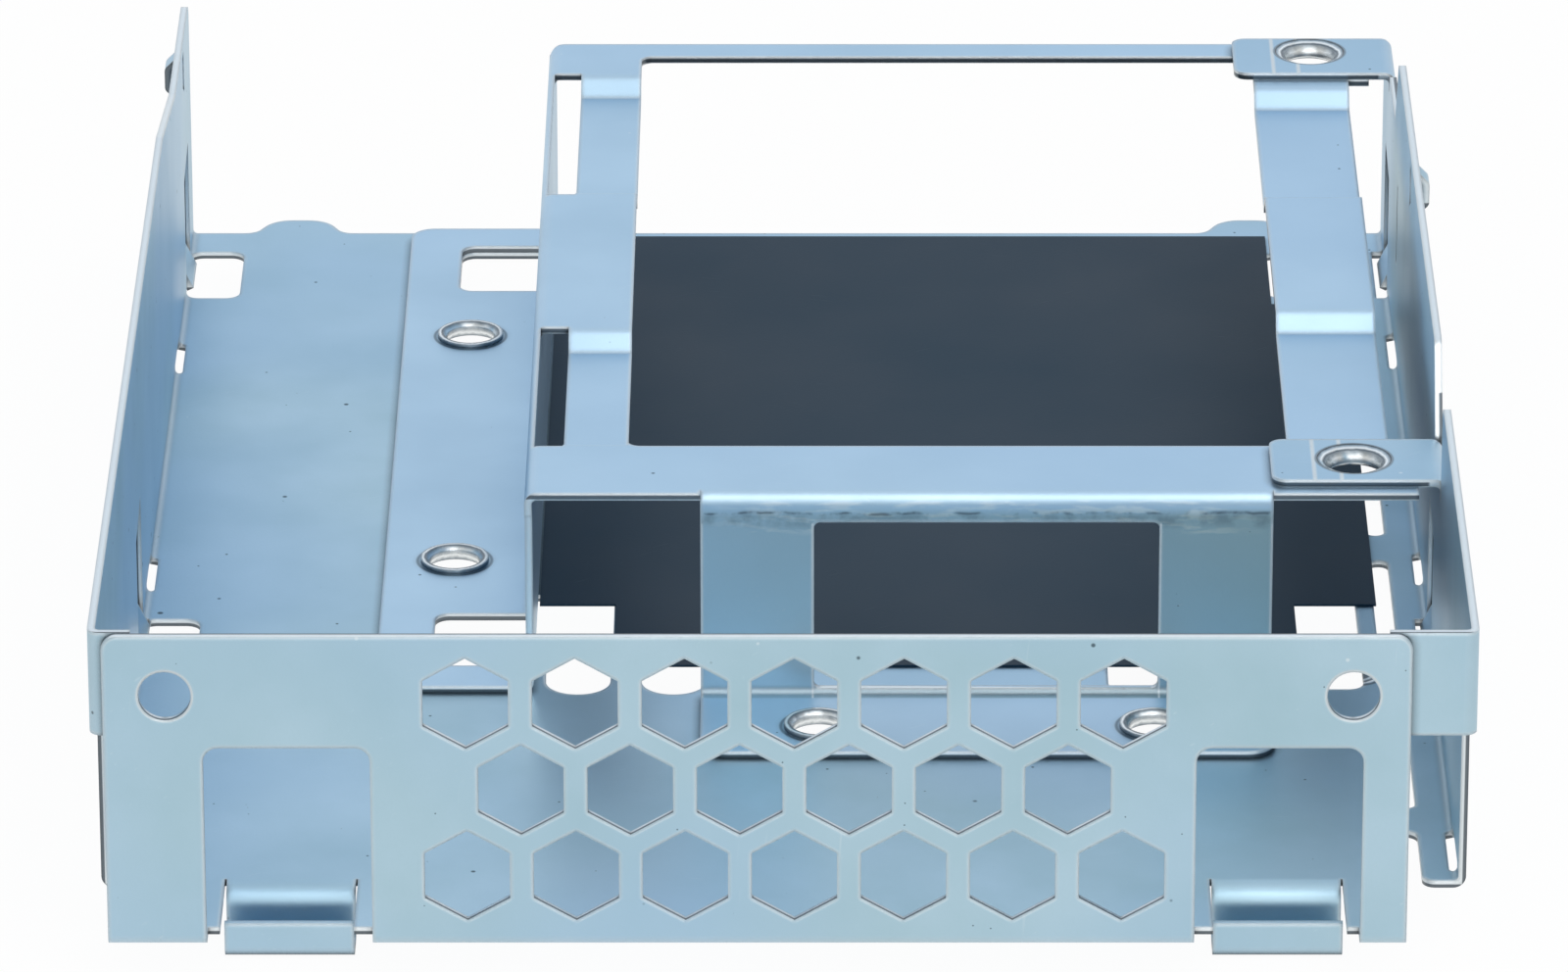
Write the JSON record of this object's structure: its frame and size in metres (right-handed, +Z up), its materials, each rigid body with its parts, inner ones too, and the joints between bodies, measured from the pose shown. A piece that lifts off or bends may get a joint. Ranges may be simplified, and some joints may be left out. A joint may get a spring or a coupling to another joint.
{
  "type": "hot swap drive caddy",
  "caption": "Open folded-sheet caddy that holds a small drive in a large drive bay, with a honeycomb front wall, hooks, side springs and a riveted inner bracket over an insulating film.",
  "frame": {"origin": "under the middle of the caddy's outline, level with the lowest point of the front hooks", "axes": "+X to the right seen from the front wall, +Y from the front wall to the rear edge, +Z up"},
  "size_m": [0.1076, 0.1456, 0.0298],
  "materials": {
    "tray_steel": "satin zinc coating",
    "bracket_steel": "satin zinc coating",
    "insulating_film": "matte black film"
  },
  "bodies": {
    "root": {"tray": "tray_steel", "drive_bracket": "bracket_steel", "insulator_sheet": "insulating_film"}
  },
  "joints": []
}
